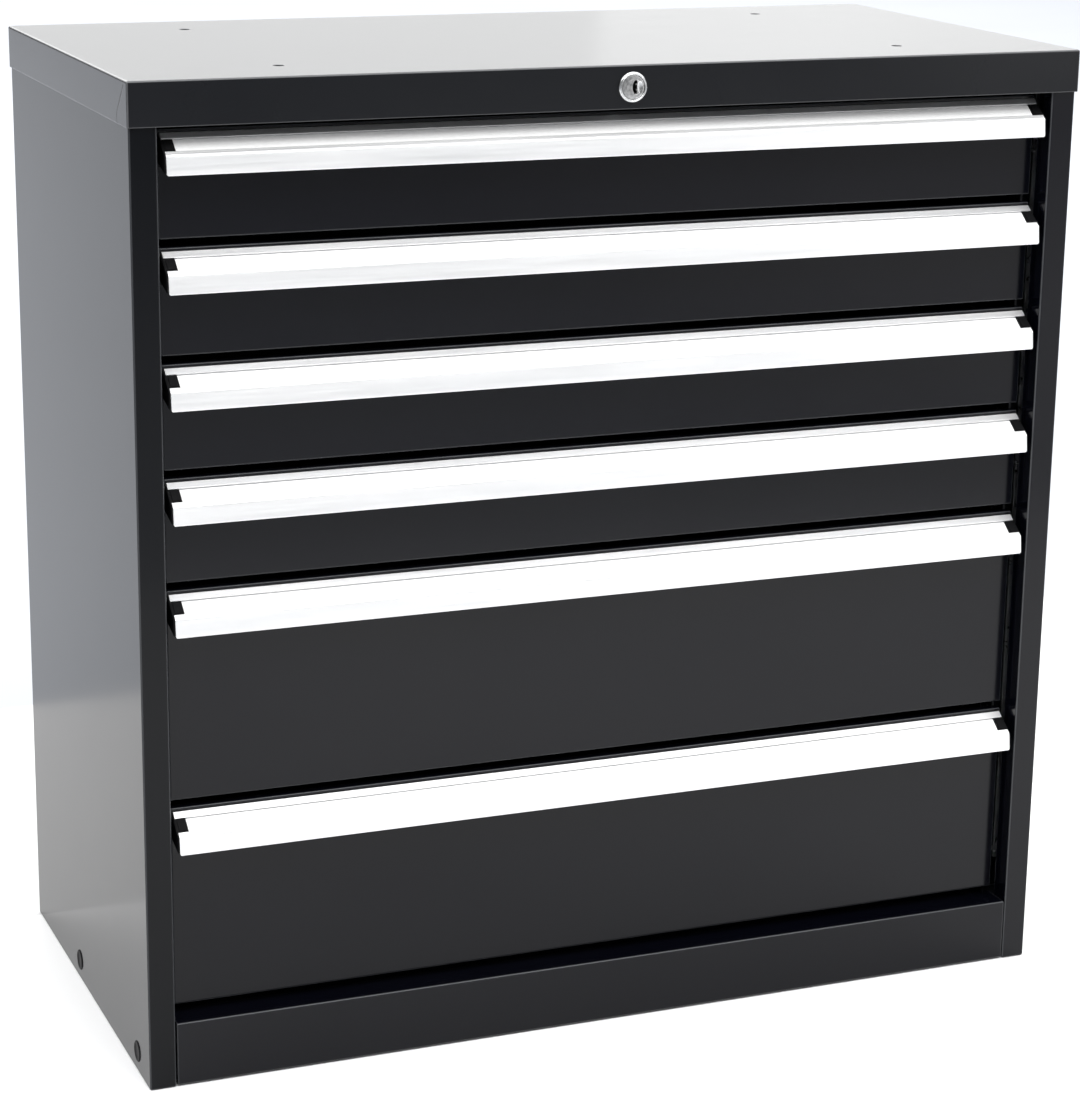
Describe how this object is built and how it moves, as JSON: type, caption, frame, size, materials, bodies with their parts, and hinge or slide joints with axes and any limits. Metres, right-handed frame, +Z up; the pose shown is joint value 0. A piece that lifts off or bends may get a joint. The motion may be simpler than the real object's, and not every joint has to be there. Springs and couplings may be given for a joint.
{
  "type": "tool cabinet",
  "caption": "Free-standing steel tool cabinet with full-width drawers on telescopic slides, lipped aluminium handles and one central lock in the top skirt.",
  "frame": {"origin": "on the floor under the middle of the cabinet, measured over the lock and the rear screws", "axes": "+Z up, drawers open towards -Y, +X to the right of someone who faces the drawers"},
  "size_m": [0.9, 0.456, 0.9],
  "materials": {
    "body_paint": "satin near-black powder coat on folded steel sheet",
    "tray_paint": "satin near-black powder coat, inside and outside of the trays",
    "handle_aluminium": "pale satin anodised extrusion",
    "label_white": "white label strip behind a clear film",
    "end_cap_black": "moulded black plastic",
    "plug_plastic": "moulded dark grey plastic",
    "zinc_steel": "zinc-plated steel",
    "lock_chrome": "chrome-plated zinc casting, worn to a soft shine"
  },
  "bodies": {
    "cabinet": {"side_panel_left": "body_paint", "side_panel_right": "body_paint", "back_panel": "body_paint", "top_cap": "body_paint", "plinth_panel": "body_paint", "base_pan": "body_paint", "slotted_uprights": "body_paint", "slide_outer_members": "zinc_steel", "side_plugs": "plug_plastic", "rear_screws": "zinc_steel", "lock_housing": "lock_chrome", "lock_nut": "zinc_steel", "lock_guides": "zinc_steel"},
    "drawer_1": {"drawer_tray_1": "tray_paint", "drawer_front_1": "body_paint", "handle_1": "handle_aluminium", "label_strip_1": "label_white", "label_end_caps_1": "end_cap_black", "slide_inner_1": "zinc_steel"},
    "slide_pair_1": {"slide_middle_1": "zinc_steel"},
    "drawer_2": {"drawer_tray_2": "tray_paint", "drawer_front_2": "body_paint", "handle_2": "handle_aluminium", "label_strip_2": "label_white", "label_end_caps_2": "end_cap_black", "slide_inner_2": "zinc_steel"},
    "slide_pair_2": {"slide_middle_2": "zinc_steel"},
    "drawer_3": {"drawer_tray_3": "tray_paint", "drawer_front_3": "body_paint", "handle_3": "handle_aluminium", "label_strip_3": "label_white", "label_end_caps_3": "end_cap_black", "slide_inner_3": "zinc_steel"},
    "slide_pair_3": {"slide_middle_3": "zinc_steel"},
    "drawer_4": {"drawer_tray_4": "tray_paint", "drawer_front_4": "body_paint", "handle_4": "handle_aluminium", "label_strip_4": "label_white", "label_end_caps_4": "end_cap_black", "slide_inner_4": "zinc_steel"},
    "slide_pair_4": {"slide_middle_4": "zinc_steel"},
    "drawer_5": {"drawer_tray_5": "tray_paint", "drawer_front_5": "body_paint", "handle_5": "handle_aluminium", "label_strip_5": "label_white", "label_end_caps_5": "end_cap_black", "slide_inner_5": "zinc_steel"},
    "slide_pair_5": {"slide_middle_5": "zinc_steel"},
    "drawer_6": {"drawer_tray_6": "tray_paint", "drawer_front_6": "body_paint", "handle_6": "handle_aluminium", "label_strip_6": "label_white", "label_end_caps_6": "end_cap_black", "slide_inner_6": "zinc_steel"},
    "slide_pair_6": {"slide_middle_6": "zinc_steel"},
    "lock_plug": {"lock_plug": "lock_chrome", "lock_cam": "zinc_steel"},
    "lock_link": {"lock_link": "zinc_steel"},
    "lock_bar": {"lock_bar": "zinc_steel"}
  },
  "joints": [
    {"name": "drawer_1_slide", "type": "slide", "parent": "cabinet", "child": "drawer_1", "axis": [0, -1, 0], "range_m": [0, 0.4]},
    {"name": "slide_pair_1_travel", "type": "slide", "parent": "cabinet", "child": "slide_pair_1", "axis": [0, -1, 0], "range_m": [0, 0.2]},
    {"name": "drawer_2_slide", "type": "slide", "parent": "cabinet", "child": "drawer_2", "axis": [0, -1, 0], "range_m": [0, 0.4]},
    {"name": "slide_pair_2_travel", "type": "slide", "parent": "cabinet", "child": "slide_pair_2", "axis": [0, -1, 0], "range_m": [0, 0.2]},
    {"name": "drawer_3_slide", "type": "slide", "parent": "cabinet", "child": "drawer_3", "axis": [0, -1, 0], "range_m": [0, 0.4]},
    {"name": "slide_pair_3_travel", "type": "slide", "parent": "cabinet", "child": "slide_pair_3", "axis": [0, -1, 0], "range_m": [0, 0.2]},
    {"name": "drawer_4_slide", "type": "slide", "parent": "cabinet", "child": "drawer_4", "axis": [0, -1, 0], "range_m": [0, 0.4]},
    {"name": "slide_pair_4_travel", "type": "slide", "parent": "cabinet", "child": "slide_pair_4", "axis": [0, -1, 0], "range_m": [0, 0.2]},
    {"name": "drawer_5_slide", "type": "slide", "parent": "cabinet", "child": "drawer_5", "axis": [0, -1, 0], "range_m": [0, 0.4]},
    {"name": "slide_pair_5_travel", "type": "slide", "parent": "cabinet", "child": "slide_pair_5", "axis": [0, -1, 0], "range_m": [0, 0.2]},
    {"name": "drawer_6_slide", "type": "slide", "parent": "cabinet", "child": "drawer_6", "axis": [0, -1, 0], "range_m": [0, 0.4]},
    {"name": "slide_pair_6_travel", "type": "slide", "parent": "cabinet", "child": "slide_pair_6", "axis": [0, -1, 0], "range_m": [0, 0.2]},
    {"name": "lock_bar_lift", "type": "slide", "parent": "cabinet", "child": "lock_bar", "axis": [0, 0, 1], "range_m": [0, 0.00989]},
    {"name": "lock_link_shift", "type": "slide", "parent": "cabinet", "child": "lock_link", "axis": [-1, 0, 0], "range_m": [0, 0.00989]},
    {"name": "lock_plug_turn", "type": "hinge", "parent": "cabinet", "child": "lock_plug", "pos_m": [0, -0.225, 0.8807], "axis": [0, -1, 0], "range_deg": [0, 90]}
  ],
  "couplings": [
    {"joint": "slide_pair_1_travel", "follows": "drawer_1_slide", "ratio": 0.5},
    {"joint": "slide_pair_2_travel", "follows": "drawer_2_slide", "ratio": 0.5},
    {"joint": "slide_pair_3_travel", "follows": "drawer_3_slide", "ratio": 0.5},
    {"joint": "slide_pair_4_travel", "follows": "drawer_4_slide", "ratio": 0.5},
    {"joint": "slide_pair_5_travel", "follows": "drawer_5_slide", "ratio": 0.5},
    {"joint": "slide_pair_6_travel", "follows": "drawer_6_slide", "ratio": 0.5},
    {"joint": "lock_link_shift", "follows": "lock_bar_lift", "ratio": 1},
    {"joint": "lock_plug_turn", "follows": "lock_bar_lift", "rad_per_m": 158.83}
  ]
}
